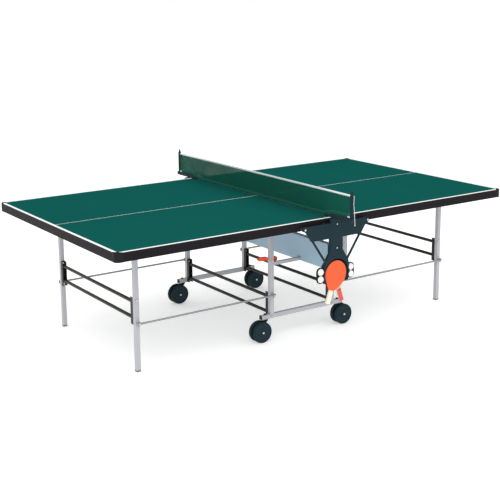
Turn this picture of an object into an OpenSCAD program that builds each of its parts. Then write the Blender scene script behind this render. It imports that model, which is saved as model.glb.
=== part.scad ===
// Rollaway table tennis table, unfolded for play.
// Two half-tops fold up about pivots on a wheeled undercarriage. Link rods keep the end legs
// upright. The net, its arms and the bat and ball holders stay on the undercarriage.
// Millimetres. Origin on the floor under the middle of the net, +X along the table, +Z up.

/* [Table top] */
// Length of the whole playing surface
top_len = 2740; // [2700:10:2800]
// Width of the playing surface
top_wid = 1525; // [1500:5:1550]
// Height of the playing surface above the floor
top_h = 760; // [758:1:764]
// Gap between the two halves at the net
half_gap = 7; // [6.5:0.5:9]
// Thickness of the playing panel
panel_t = 6; // [4:1:8]
// Depth of the apron rails
apron_d = 50; // [45:1:50]
// Width of the apron rails
apron_w = 25; // [20:1:30]
// Outer radius of the plastic corner caps
corner_r = 25; // [15:1:30]

/* [Legs and undercarriage] */
// Side of the square frame tube
tube = 25; // [22:1:26]
// Wall of the frame tubes and rails
wall = 1.5; // [1:0.5:2.5]
// Height of the fold pivots
pivot_h = 722; // [720:1:723]
// Distance of the posts from the net line
post_x = 225; // [222:1:230]
// Distance of the end legs from the net line
leg_x = 1113; // [1050:1:1200]
// Distance of posts and legs from the centre line
frame_y = 470; // [440:1:500]
// Height of the centre of the base rails
rail_h = 146; // [146:1:150]
// Half length of the base rails
rail_half = 298; // [290:1:330]
// Height of the link rods
rod_h = 276; // [275:1:280]
// Diameter of the link rods
rod_d = 11; // [8:1:11]
// Diameter of the round cross tubes
cross_d = 20; // [16:1:20]

/* [Castors] */
// Diameter of the castor wheels
wheel_d = 125; // [100:5:125]
// Width of each wheel of a pair
wheel_w = 24; // [18:1:26]
// Distance of the axle behind the swivel stem
castor_trail = 33; // [25:1:35]
// Distance of the swivel stems from the net line
castor_x = 270; // [265:1:275]

/* [Net and side plates] */
// Height of the net above the playing surface
net_h = 152.5; // [150:0.5:155]
// Overhang of the net beyond the edge of the table
net_over = 152.5; // [150:0.5:155]
// Thickness of the side plates
plate_t = 16; // [12:1:16]
// Outer radius of the round bat holder
holder_r = 97; // [95:1:100]
// Depth of the bat pocket
pocket_d = 27; // [27:1:28]
// Diameter of a ball
ball_d = 40; // [38:0.5:40]

/* [Hidden] */
$fn = 48;
eps = 0.01;
run = 0.06;                          // radial clearance of a running pin
fit = 0.1;                           // radial clearance of a fixed bolt
half_len = top_len / 2;
half_wid = top_wid / 2;
inner_x = half_gap / 2;
apron_z = top_h - apron_d;           // underside of the apron
panel_z = top_h - panel_t;           // underside of the playing panel
cap_len = 45;                        // leg of a corner cap
brace_h = 16;                        // stiffeners under the panel
brace_w = 60;
brace_z = panel_z - brace_h;
rail_top = rail_h + tube / 2;
rail_bot = rail_h - tube / 2;
face_y = frame_y + tube / 2;         // outboard face of posts and legs
back_y = frame_y - tube / 2;         // inboard face of posts and legs
rod_y = 500;                         // plane of the link rods
pin_r = 4;                           // M8 bolts of frame and pivots
hub_pin_r = 5;                       // shoulder bolts in the side plates
foot_h = 10;
channel_w = 27;                      // bracket of a cross frame
channel_d = 25;
channel_t = 3;
leg_tubes = [298, 388];              // heights of the cross tubes between the legs
leg_channel = [264, 416];
leg_bolt_h = 405;
base_tubes = [163, 258];             // heights of the cross tubes between the posts
base_channel = [136, 290];
lever_h = 480;                       // release levers
lever_y = frame_y - 23;
bar_h = 460;                         // lock bars between the posts
bar_d = 20;
bar_w = 15;
beam = [450, 600];                   // bottom and top of the centre beam
beam_w = 36;
plate_back = 780;                    // inboard face of a side plate
plate_front = plate_back + plate_t;
holder_back = 764;                   // inboard face of the bat holder
holder_z = 440;
holder_cut = 388;                    // the holder is open below this height
pocket_r = 85;
riser_z = 761;                       // the net arm rests here
plate_bolts = [589, 727];            // heights of the bolts through a side plate
plate_bolt_r = 3;
strut_foot = [84, 512];              // outer edge of a strut, in x and height
strut_head = [218, 709];
strut_w = 13;
strut_t = 8;
arm_top = 782;
arm_in = 700;
net_y = half_wid + net_over;         // half length of the net
post_w = 16;
net_top = top_h + net_h;
tape_h = 12;
ball_x = 109;
ball_z = [419, 461];
ball_y = 784;
ball_room = 0.6;                     // between a ball and its loop
front_tilt = 19;                     // lean of each bat
back_tilt = 18;
blade_z = 434;
blade_t = 10;
bat_gap = 0.3;                       // between the bats, and behind them
cord_d = 3;
cord_route = [[4, -931, 908], [4, -934, 908], [3, -937, 906], [2, -939, 902], [1, -940, 896],
    [0, -940, 888], [0, -940, 878], [-1, -940, 866], [-1, -940, 856], [0, -941, 848],
    [1, -941, 840], [2, -941, 830], [3, -941, 818], [4, -941, 804], [5, -941, 790],
    [6, -941, 776], [7, -941, 762], [8, -941, 748]];

// ---- helpers: everything is drawn at +X, +Y and mirrored into place ----

// Children in the quarter given by the signs of x and y
module quarter(sx, sy) {
    mirror([sx < 0 ? 1 : 0, 0, 0]) mirror([0, sy < 0 ? 1 : 0, 0]) children();
}

// Round bar along Y from y0 to y1
module bar_y(x, z, y0, y1, r) {
    translate([x, y0, z]) rotate([-90, 0, 0]) cylinder(r = r, h = y1 - y0);
}

// Bolt along Y: shank from y0 to y1, head outboard, nut inboard
module bolt_y(x, z, y0, y1, r, head = 5) {
    bar_y(x, z, y0, y1, r);
    bar_y(x, z, y1, y1 + head, r + 2.8);
    translate([x, y0 - head, z]) rotate([-90, 0, 0]) cylinder(r = r + 2.8, h = head, $fn = 6);
}

// Square tube standing at x, y
module upright(x, y, z0, z1) {
    translate([x, y, z0]) difference() {
        translate([-tube / 2, -tube / 2, 0]) cube([tube, tube, z1 - z0]);
        translate([-tube / 2 + wall, -tube / 2 + wall, -1])
            cube([tube - 2 * wall, tube - 2 * wall, z1 - z0 + 2]);
    }
}

// Solid round head of a post or leg, on the fold pivot
module knuckle(x, y) {
    bar_y(x, pivot_h, y - tube / 2, y + tube / 2, tube / 2);
    translate([x - tube / 2, y - tube / 2, pivot_h - 16]) cube([tube, tube, 16]);
}

// Rectangular tube between two corners, open along X or Y
module rail(lo, hi, along) {
    size = hi - lo;
    grow = along == "x" ? [2, -2 * wall, -2 * wall] : [-2 * wall, 2, -2 * wall];
    difference() {
        translate(lo) cube(size);
        translate(lo - grow / 2) cube(size + grow);
    }
}

// Corner outline: a square of side s whose outer corner has radius r
module corner_2d(s, r) {
    difference() {
        square(s);
        translate([s - r, s - r]) difference() {
            square(r + 1);
            circle(r);
        }
    }
}

// ---- half-tops ----

module playing_surface(sx) {
    rim = 2.3;
    far_x = half_len - rim;
    far_y = half_wid - rim;
    color("seagreen") quarter(sx, 1) translate([0, 0, panel_z]) linear_extrude(panel_t)
        difference() {
            translate([inner_x, -far_y]) square([far_x - inner_x, 2 * far_y]);
            for (s = [-1, 1]) scale([1, s]) translate([far_x - cap_len, far_y - cap_len])
                difference() {
                    square(cap_len + 1);
                    corner_2d(cap_len, corner_r - rim);
                }
        }
}

module apron_rails(sx) {
    lip = 2;
    side_end = half_len - cap_len;
    color("black") quarter(sx, 1) {
        for (s = [-1, 1]) scale([1, s, 1]) difference() {
            union() {
                rail([inner_x, half_wid - apron_w, apron_z], [side_end, half_wid, panel_z], "x");
                translate([inner_x, half_wid - lip, panel_z - eps])
                    cube([side_end - inner_x, lip, panel_t + eps]);
            }
            bar_y(post_x, pivot_h, half_wid - apron_w - 1, half_wid + 1, hub_pin_r + run);
        }
        rail([half_len - apron_w, cap_len - half_wid, apron_z],
             [half_len, half_wid - cap_len, panel_z], "y");
        translate([half_len - lip, cap_len - half_wid, panel_z - eps])
            cube([lip, 2 * (half_wid - cap_len), panel_t + eps]);
        rail([inner_x, apron_w - half_wid + 0.3, brace_z],
             [inner_x + apron_w, half_wid - apron_w - 0.3, panel_z], "y");
    }
}

module corner_caps(sx) {
    gap = 0.2;
    rim = 2;
    color("dimgray") for (sy = [-1, 1]) quarter(sx, sy)
        translate([half_len - cap_len, half_wid - cap_len, 0]) {
            translate([0, 0, apron_z - 1]) linear_extrude(panel_z - apron_z + 1) difference() {
                corner_2d(cap_len, corner_r);
                square(cap_len - apron_w - gap);
                square([gap, cap_len]);
                square([cap_len, gap]);
            }
            translate([0, 0, panel_z - eps]) linear_extrude(panel_t + eps) difference() {
                corner_2d(cap_len, corner_r);
                corner_2d(cap_len - rim, corner_r - rim);
                square([gap, cap_len]);
                square([cap_len, gap]);
            }
        }
}

module under_frame(sx) {
    start = inner_x + apron_w + 0.5;
    end = half_len - apron_w - 0.5;
    color("gray") quarter(sx, 1) for (y = [-frame_y, 0, frame_y])
        rail([start, y - brace_w / 2, brace_z], [end, y + brace_w / 2, panel_z], "x");
}

// U-bracket under a stiffener, with an ear on each side of a post or leg
module hinge_bracket(x) {
    ear_r = 13;
    ear_t = 3;
    ear_gap = 0.5;
    difference() {
        union() {
            translate([x - 20, frame_y - tube / 2 - ear_gap - ear_t, pivot_h + ear_r])
                cube([40, tube + 2 * (ear_gap + ear_t), brace_z - pivot_h - ear_r]);
            for (y = [back_y - ear_gap - ear_t, face_y + ear_gap]) {
                bar_y(x, pivot_h, y, y + ear_t, ear_r);
                translate([x - ear_r, y, pivot_h]) cube([2 * ear_r, ear_t, ear_r + eps]);
            }
        }
        bar_y(x, pivot_h, back_y - 10, face_y + 10, pin_r + run);
    }
}

module hinge_brackets(sx) {
    color("silver") for (sy = [-1, 1]) quarter(sx, sy) {
        hinge_bracket(post_x);
        hinge_bracket(leg_x);
    }
}

// ---- end legs ----

module legs(sx) {
    color("silver") for (sy = [-1, 1]) quarter(sx, sy) difference() {
        union() {
            upright(leg_x, frame_y, foot_h, pivot_h - 10);
            knuckle(leg_x, frame_y);
        }
        for (z = [pivot_h, rod_h, leg_bolt_h])
            bar_y(leg_x, z, back_y - 1, face_y + 1, pin_r + fit);
    }
}

module feet(sx) {
    inner = tube - 2 * wall;
    color("gray") for (sy = [-1, 1]) quarter(sx, sy) translate([leg_x, frame_y, 0]) {
        translate([-tube / 2, -tube / 2, 0]) cube([tube, tube, foot_h]);
        translate([-inner / 2, -inner / 2, foot_h]) cube([inner, inner, 20]);
    }
}

// Welded frame: two round tubes between two channels that bolt to the uprights
module cross_frame(x, tubes, channel, holes) {
    height = channel[1] - channel[0];
    for (z = tubes) translate([x, 0, z]) rotate([90, 0, 0])
        difference() {
            cylinder(d = cross_d, h = 2 * (back_y - channel_t / 2), center = true);
            cylinder(r = cross_d / 2 - wall, h = 2 * back_y + 2, center = true);
        }
    for (s = [-1, 1]) scale([1, s, 1]) difference() {
        translate([x - channel_w / 2, back_y - channel_d, channel[0]])
            cube([channel_w, channel_d, height]);
        translate([x - channel_w / 2 + channel_t, back_y - channel_d - 1, channel[0] - 1])
            cube([channel_w - 2 * channel_t, channel_d - channel_t + 1, height + 2]);
        for (z = holes) bar_y(x, z, back_y - channel_t - 1, back_y + 1, pin_r + fit);
    }
}

module leg_cross_frame(sx) {
    color("black") quarter(sx, 1) cross_frame(leg_x, leg_tubes, leg_channel, [rod_h, leg_bolt_h]);
}

// Shoulder bolt that carries the end of a link rod outside an upright
module rod_bolt(x) {
    bolt_y(x, rod_h, back_y - channel_t, rod_y + 4, pin_r);
    bar_y(x, rod_h, face_y, rod_y - 2.8, pin_r + 4);
}

module leg_bolts(sx) {
    ears = 3.5;
    color("gainsboro") for (sy = [-1, 1]) quarter(sx, sy) {
        bolt_y(leg_x, pivot_h, back_y - ears - 0.2, face_y + ears + 0.2, pin_r, 4);
        rod_bolt(leg_x);
        bolt_y(leg_x, leg_bolt_h, back_y - channel_t, face_y, pin_r, 4);
    }
}

// ---- link rods: each is parallel to its half-top ----

module link_rod() {
    eye_r = 13;
    eye_t = 5;
    slack = 0.5;                     // extra room at the leg, where the linkage is open
    difference() {
        union() {
            translate([post_x + 20, rod_y, rod_h]) rotate([0, 90, 0])
                cylinder(d = rod_d, h = leg_x - post_x - 40);
            for (x = [post_x, leg_x]) bar_y(x, rod_h, rod_y - eye_t / 2, rod_y + eye_t / 2, eye_r);
            for (x = [post_x, leg_x - 32]) translate([x, rod_y - eye_t / 2, rod_h - rod_d / 2])
                cube([32, eye_t, rod_d]);
        }
        bar_y(post_x, rod_h, rod_y - 10, rod_y + 10, pin_r + run);
        bar_y(leg_x, rod_h, rod_y - 10, rod_y + 10, pin_r + slack);
    }
}

module link_rods(sx) {
    color("darkgray") for (sy = [-1, 1]) quarter(sx, sy) link_rod();
}

// ---- undercarriage ----

module posts(sx) {
    color("silver") for (sy = [-1, 1]) quarter(sx, sy) difference() {
        union() {
            upright(post_x, frame_y, rail_top, pivot_h - 10);
            knuckle(post_x, frame_y);
        }
        for (z = sy < 0 ? [pivot_h, rod_h, lever_h] : [pivot_h, rod_h])
            bar_y(post_x, z, back_y - 1, face_y + 1, pin_r + fit);
    }
}

module base_rail(sy) {
    stem_r = 5;
    color("silver") quarter(1, sy) difference() {
        rail([-rail_half, back_y, rail_bot], [rail_half, face_y, rail_top], "x");
        for (s = [-1, 1]) {
            translate([s * castor_x, frame_y, rail_bot - 1])
                cylinder(r = stem_r + run, h = tube + 2);
            bar_y(s * post_x, rail_h, back_y - 1, face_y + 1, pin_r + fit);
        }
    }
}

module rail_end_caps() {
    cap_t = 3;
    plug = tube - 2 * wall;
    color("black") for (sx = [-1, 1], sy = [-1, 1]) quarter(sx, sy)
        translate([rail_half, frame_y, rail_h]) {
            translate([0, -tube / 2, -tube / 2]) cube([cap_t, tube, tube]);
            translate([-12, -plug / 2, -plug / 2]) cube([12, plug, plug]);
        }
}

module base_cross_frame(sx) {
    color("black") quarter(sx, 1) cross_frame(post_x, base_tubes, base_channel, [rod_h, rail_h]);
}

module lock_bar(sy) {
    reach = post_x - tube / 2;
    color("silver") quarter(1, sy)
        rail([-reach, frame_y - bar_w / 2, bar_h - bar_d / 2],
             [reach, frame_y + bar_w / 2, bar_h + bar_d / 2], "x");
}

// Folded sheet box beam under the net, notched for the lock bars
module centre_beam() {
    notch_w = bar_w + 4;
    notch_top = bar_h + bar_d / 2 + 4;
    color("lightslategray") difference() {
        rail([-beam_w / 2, -holder_back, beam[0]], [beam_w / 2, holder_back, beam[1]], "y");
        for (s = [-1, 1])
            translate([-beam_w, s * frame_y - notch_w / 2, beam[0] - 1])
                cube([2 * beam_w, notch_w, notch_top - beam[0] + 1]);
    }
}

// ---- side plates with the bat pocket ----

// Beam, column and neck of the right half, in x and height
module plate_half() {
    polygon([[0, riser_z], [42, riser_z], [42, 735], [228, 735], strut_head, [176.5, 648],
        [43, 648], [43, 578], [77, 521], strut_foot, [92, 470], [0, 470]]);
    translate([post_x, pivot_h]) circle(13);
}

// Slanted strut from the neck up to the end of the beam
module plate_strut() {
    inward = [strut_w, 0];
    polygon([strut_foot, strut_head, strut_head - inward, strut_foot - inward]);
}

module side_plate(sy) {
    boss_w = 40;
    lift = plate_front - holder_back;
    color("darkslategray") quarter(1, sy) difference() {
        union() {
            translate([0, plate_front, 0]) rotate([90, 0, 0]) for (s = [-1, 1]) scale([s, 1, 1]) {
                linear_extrude(plate_t) plate_half();
                linear_extrude(strut_t) plate_strut();
            }
            bar_y(0, holder_z, holder_back, plate_front, holder_r);
            translate([-boss_w, holder_back, holder_z]) cube([2 * boss_w, lift, 170]);
        }
        bar_y(0, holder_z, plate_front - pocket_d, plate_front + 1, pocket_r);
        translate([-holder_r - 1, holder_back - 1, holder_z - holder_r - 1])
            cube([2 * holder_r + 2, lift + 2, holder_cut - holder_z + holder_r + 1]);
        for (s = [-1, 1])
            bar_y(s * post_x, pivot_h, plate_back - 1, plate_front + 1, hub_pin_r + fit);
        for (z = plate_bolts) bar_y(0, z, holder_back - 1, plate_front + 1, plate_bolt_r + fit);
        for (s = [-1, 1], z = ball_z)
            bar_y(s * ball_x, z, holder_back - 1, plate_front + 1, ball_d / 2 + ball_room);
    }
}

// Ring that grips two balls beside the bat holder
module ball_loop() {
    rim = 5;
    depth = 10;
    hole_r = ball_d / 2 + ball_room;
    reach = hole_r + rim;
    translate([0, ball_y + depth / 2, 0]) rotate([90, 0, 0]) linear_extrude(depth) difference() {
        union() {
            for (z = ball_z) translate([ball_x, z]) circle(reach);
            translate([ball_x - reach, ball_z[0]]) square([2 * reach, ball_z[1] - ball_z[0]]);
        }
        for (z = ball_z) translate([ball_x, z]) circle(hole_r);
        translate([0, holder_z]) circle(holder_r);
        plate_half();
    }
}

module ball_loops() {
    color("black") for (sx = [-1, 1], sy = [-1, 1]) quarter(sx, sy) ball_loop();
}

module pivot_bolts() {
    ears = 3.7;
    washer_end = half_wid + 0.7;
    color("gainsboro") for (sx = [-1, 1], sy = [-1, 1]) quarter(sx, sy) {
        bolt_y(post_x, pivot_h, back_y - ears, face_y + ears, pin_r, 4);
        rod_bolt(post_x);
        bar_y(post_x, pivot_h, half_wid - apron_w, plate_front, hub_pin_r);
        bar_y(post_x, pivot_h, washer_end, plate_back, hub_pin_r + 4);
        bar_y(post_x, pivot_h, plate_front, plate_front + 3, hub_pin_r + 1.2);
        if (sy < 0) bolt_y(post_x, lever_h, lever_y - 9.2, face_y, pin_r, 4);
    }
}

module frame_bolts() {
    color("gainsboro") for (sy = [-1, 1]) {
        for (sx = [-1, 1]) quarter(sx, sy)
            bolt_y(post_x, rail_h, back_y - channel_t, face_y, pin_r, 4);
        quarter(1, sy) {
            bar_y(0, plate_bolts[0], holder_back, plate_front, plate_bolt_r);
            bar_y(0, plate_bolts[1], plate_back - 4, plate_front, plate_bolt_r);
            for (z = plate_bolts) bar_y(0, z, plate_front, plate_front + 3, plate_bolt_r + 1.5);
        }
    }
}

// ---- net ----

module net_arm(sy) {
    arm_w = 30;
    color("darkslategray") quarter(1, sy) translate([-arm_w / 2, 0, 0]) rotate([90, 0, 90])
        linear_extrude(arm_w)
            polygon([[arm_in, riser_z], [arm_in, riser_z + 7], [half_wid, arm_top],
                [net_y + 22, arm_top], [net_y + 22, riser_z + 8], [net_y + 14, riser_z]]);
}

module net_post(sy) {
    tip_w = 9;
    shoulder = net_top + 6;
    color("darkslategray") quarter(1, sy) translate([-post_w / 2, net_y, arm_top]) {
        cube([post_w, post_w, shoulder - arm_top]);
        translate([(post_w - tip_w) / 2, (post_w - tip_w) / 2, shoulder - arm_top - eps])
            cube([tip_w, tip_w, 17]);
    }
}

module net_mesh() {
    cloth_t = 2;
    end_y = net_y - 0.5;
    low = top_h + 2;
    over = arm_top + 1;
    color("darkgreen") translate([-cloth_t / 2, 0, 0]) rotate([90, 0, 90])
        linear_extrude(cloth_t) for (s = [-1, 1]) scale([s, 1])
            polygon([[-1, low], [arm_in - 6, low], [arm_in - 6, riser_z + 9], [half_wid - 4, over],
                [end_y, over], [end_y, net_top - tape_h], [-1, net_top - tape_h]]);
}

module net_tape() {
    tape_t = 3;
    color("white") translate([-tape_t / 2, -net_y, net_top - tape_h])
        cube([tape_t, 2 * net_y, tape_h]);
}

module net_clips() {
    color("white") for (sy = [-1, 1]) quarter(-1, sy)
        translate([1.2, net_y - 22, arm_top]) cube([5, 20, 8]);
}

function unit(v) = v / norm(v);
function tangent(p, i) = unit(p[min(i + 1, len(p) - 1)] - p[max(i - 1, 0)]);

// Tube along a route, as one polyhedron with n sides
module sweep(p, r, n) {
    rings = len(p);
    points = [for (i = [0 : rings - 1]) let (t = tangent(p, i), u = unit(cross(t, [1, 0.2, 0])),
        v = cross(t, u)) for (k = [0 : n - 1])
            p[i] + r * cos(360 * k / n) * u + r * sin(360 * k / n) * v];
    sides = [for (i = [0 : rings - 2], k = [0 : n - 1]) let (m = (k + 1) % n)
        [i * n + k, i * n + m, (i + 1) * n + m, (i + 1) * n + k]];
    ends = [[for (k = [n - 1 : -1 : 0]) k], [for (k = [0 : n - 1]) (rings - 1) * n + k]];
    polyhedron(points, concat(sides, ends));
}

module net_cord() {
    color("gainsboro") sweep(cord_route, cord_d / 2, 8);
}

module net_cord_knot() {
    last = cord_route[len(cord_route) - 1];
    color("gainsboro") translate(last - [0, 0, 9]) cylinder(r1 = 2.6, r2 = 3.4, h = 9, $fn = 24);
}

// ---- bats and balls ----

// Bat with its blade centred on the origin in x and height and its handle down
module bat() {
    blade_r = 76;
    handle_w = 27;
    handle_t = 22;
    scale_top = -101;                // the handle scales start below the other blade
    rotate([90, 0, 0]) translate([0, 0, -blade_t / 2]) linear_extrude(blade_t) {
        scale([1, 1.04]) circle(blade_r);
        for (s = [-1, 1]) scale([s, 1])
            polygon([[-1, -48], [60, -48], [50.7, -61.5], [40.8, -74.7], [29.9, -88], [15, -101],
                [-1, -101]]);
    }
    translate([-handle_w / 2, -handle_t / 2, -177]) cube([handle_w, handle_t, 177 + scale_top]);
    translate([-handle_w / 2, -blade_t / 2, scale_top - eps]) cube([handle_w, blade_t, 10]);
}

module bat_front() {
    y = plate_front - pocket_d + bat_gap + 1.5 * blade_t + bat_gap;
    color("orangered") translate([0, -y, blade_z]) rotate([0, front_tilt, 0]) bat();
}

module bat_back() {
    y = plate_front - pocket_d + bat_gap + blade_t / 2;
    color("indianred") translate([0, -y, blade_z]) rotate([0, -back_tilt, 0]) bat();
}

module ball(sx, level) {
    color("white") translate([sx * ball_x, -ball_y, ball_z[level]]) sphere(d = ball_d);
}

// ---- release levers ----

module release_lever(sx) {
    thick = 18;
    color("orangered") quarter(sx, -1) translate([post_x, lever_y - thick / 2, lever_h])
        rotate([-90, 0, 0]) difference() {
            linear_extrude(thick) {
                circle(11);
                translate([-42, -1]) circle(15);
                polygon([[-42, -16], [0, -12], [20, -20], [72, -21], [77, -12], [72, -2], [20, 0],
                    [0, 11], [-42, 14]]);
            }
            translate([0, 0, -1]) cylinder(r = pin_r + run, h = thick + 2);
        }
}

// ---- castors ----

module castor(sx, sy) {
    stem_r = 5;
    arm_w = 14;
    axle_r = 4;
    axle_z = wheel_d / 2;
    plate_h = 6;
    plate_top = rail_bot - 0.5;
    color("black") quarter(sx, sy) translate([castor_x, frame_y, 0]) {
        translate([0, 0, plate_top - plate_h]) cylinder(r = 19, h = plate_h);
        translate([0, 0, plate_top - eps]) cylinder(r = stem_r, h = rail_top - plate_top + 8);
        translate([0, 0, rail_top + 0.5]) cylinder(r = 8, h = 6, $fn = 6);
        rotate([90, 0, 0]) translate([0, 0, -arm_w / 2]) difference() {
            linear_extrude(arm_w) {
                polygon([[-16, plate_top - plate_h + 1], [16, plate_top - plate_h + 1],
                    [castor_trail + 14, axle_z + 6], [castor_trail, axle_z - 14],
                    [castor_trail - 14, axle_z]]);
                translate([castor_trail, axle_z]) circle(15);
            }
            translate([castor_trail, axle_z, -1]) cylinder(r = axle_r + run, h = arm_w + 2);
        }
    }
}

// Two wheels on one axle
module wheels(sx, sy) {
    inner = 9;
    outer = inner + wheel_w;
    r = wheel_d / 2;
    profile = [[0, inner], [r - 20, inner], [r - 17, inner + 1.5], [r - 6, inner + 1.5],
        [r - 2, inner + 4], [r, inner + 8], [r, outer - 8], [r - 2, outer - 4],
        [r - 6, outer - 1], [r - 14, outer - 1], [r - 17, outer - 4], [22, outer - 4],
        [17, outer], [8, outer], [8, outer + 2], [0, outer + 2]];
    color("darkslategray") quarter(sx, sy)
        translate([castor_x + castor_trail, frame_y, r]) rotate([90, 0, 0]) {
            for (s = [-1, 1]) scale([1, 1, s]) rotate_extrude($fn = 72) polygon(profile);
            cylinder(r = 4, h = 2 * inner + 2, center = true);
        }
}

// ---- one line per node ----

playing_surface(-1);  // playing_surface_left
playing_surface(1);  // playing_surface_right
apron_rails(-1);  // apron_rails_left
apron_rails(1);  // apron_rails_right
corner_caps(-1);  // corner_caps_left
corner_caps(1);  // corner_caps_right
under_frame(-1);  // under_frame_left
under_frame(1);  // under_frame_right
hinge_brackets(-1);  // hinge_brackets_left
hinge_brackets(1);  // hinge_brackets_right
legs(-1);  // legs_left
legs(1);  // legs_right
leg_cross_frame(-1);  // leg_cross_frame_left
leg_cross_frame(1);  // leg_cross_frame_right
feet(-1);  // feet_left
feet(1);  // feet_right
leg_bolts(-1);  // leg_bolts_left
leg_bolts(1);  // leg_bolts_right
link_rods(-1);  // link_rods_left
link_rods(1);  // link_rods_right
posts(-1);  // posts_left
posts(1);  // posts_right
base_rail(-1);  // base_rail_near
base_rail(1);  // base_rail_far
rail_end_caps();
base_cross_frame(-1);  // base_cross_frame_left
base_cross_frame(1);  // base_cross_frame_right
lock_bar(-1);  // lock_bar_near
lock_bar(1);  // lock_bar_far
centre_beam();
side_plate(-1);  // side_plate_near
side_plate(1);  // side_plate_far
ball_loops();
pivot_bolts();
frame_bolts();
net_arm(-1);  // net_arm_near
net_arm(1);  // net_arm_far
net_post(-1);  // net_post_near
net_post(1);  // net_post_far
net_mesh();
net_tape();
net_clips();
net_cord();
net_cord_knot();
bat_front();
bat_back();
ball(-1, 0);  // ball_left_low
ball(-1, 1);  // ball_left_high
ball(1, 0);  // ball_right_low
ball(1, 1);  // ball_right_high
release_lever(-1);  // release_lever_left
release_lever(1);  // release_lever_right
castor(-1, -1);  // castor_near_left
castor(1, -1);  // castor_near_right
castor(-1, 1);  // castor_far_left
castor(1, 1);  // castor_far_right
wheels(-1, -1);  // wheels_near_left
wheels(1, -1);  // wheels_near_right
wheels(-1, 1);  // wheels_far_left
wheels(1, 1);  // wheels_far_right
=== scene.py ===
"""Looks of the rollaway table tennis table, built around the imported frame.

Metres, +X along the table, +Y across it, +Z up, origin on the floor under the net.
"""
import math

import bmesh
import bpy
from mathutils import Matrix, Vector


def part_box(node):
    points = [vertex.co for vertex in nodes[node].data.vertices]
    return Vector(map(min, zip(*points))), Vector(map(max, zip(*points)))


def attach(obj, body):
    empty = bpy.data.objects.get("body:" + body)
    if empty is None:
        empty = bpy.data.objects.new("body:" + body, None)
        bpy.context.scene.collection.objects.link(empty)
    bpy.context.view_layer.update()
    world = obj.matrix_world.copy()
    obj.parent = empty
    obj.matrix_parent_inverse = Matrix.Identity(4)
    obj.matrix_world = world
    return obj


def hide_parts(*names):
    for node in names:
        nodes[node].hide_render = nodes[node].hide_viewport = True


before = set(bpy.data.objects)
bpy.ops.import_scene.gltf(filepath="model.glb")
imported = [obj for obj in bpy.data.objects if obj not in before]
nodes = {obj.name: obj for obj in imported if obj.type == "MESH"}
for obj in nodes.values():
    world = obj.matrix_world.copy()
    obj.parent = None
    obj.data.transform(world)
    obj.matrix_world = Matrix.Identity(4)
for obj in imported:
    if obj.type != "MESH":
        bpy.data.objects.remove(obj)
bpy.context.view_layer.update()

MM = 0.001
SIDES = {"left": -1, "right": 1}
ROWS = {"near": -1, "far": 1}

# Places worked out from the frame
half_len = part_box("apron_rails_right")[1].x
half_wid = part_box("apron_rails_right")[1].y
table_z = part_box("playing_surface_right")[1].z
post_x = sum(c.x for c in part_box("posts_right")) / 2
leg_x = sum(c.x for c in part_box("feet_right")) / 2
upright_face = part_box("feet_right")[1].y
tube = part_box("feet_right")[1].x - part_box("feet_right")[0].x
frame_y = upright_face - tube / 2
bolt_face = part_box("pivot_bolts")[1].y
rod_bolt_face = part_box("leg_bolts_right")[1].y
arm_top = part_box("net_arm_far")[1].z
arm_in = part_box("net_arm_far")[0].y
net_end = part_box("net_tape")[1].y
net_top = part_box("net_tape")[1].z
tape_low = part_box("net_tape")[0].z

# Heights of the bolts, rails and cross tubes in the CAD part
pivot_z = 0.722
rod_z = 0.276
rail_z = 0.146
leg_bolt_z = 0.405
lever_z = 0.48
plate_bolt_zs = (0.589, 0.727)
leg_tube_zs = (0.298, 0.388)
base_tube_zs = (0.163, 0.258)
blade_z = 0.434                     # middle of the round of a bat


# ---------------------------------------------------------------- camera

def make_camera():
    """The photograph's view: from the near left, a little above the table."""
    yaw, pitch, roll = (math.radians(a) for a in (34.42, 11.74, -0.48))
    place = (-3.603, -5.191, 2.045)
    data = bpy.data.cameras.new("camera")
    data.lens = 74.5
    data.sensor_width = 36
    data.shift_y = -0.1
    data.clip_end = 200
    camera = bpy.data.objects.new("camera", data)
    turn = (Matrix.Rotation(-yaw, 4, "Z") @ Matrix.Rotation(math.pi / 2 - pitch, 4, "X")
            @ Matrix.Rotation(roll, 4, "Z"))
    camera.matrix_world = Matrix.Translation(place) @ turn
    bpy.context.scene.collection.objects.link(camera)
    bpy.context.scene.camera = camera


# ---------------------------------------------------------------- meshes

def circle_angles(count):
    """Angles of count points evenly round a circle."""
    return [2 * math.pi * k / count for k in range(count)]


def basis(axis):
    """An axis at length 1, and two directions square to it and to each other."""
    axis = Vector(axis).normalized()
    side = axis.orthogonal().normalized()
    return axis, side, axis.cross(side)


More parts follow.
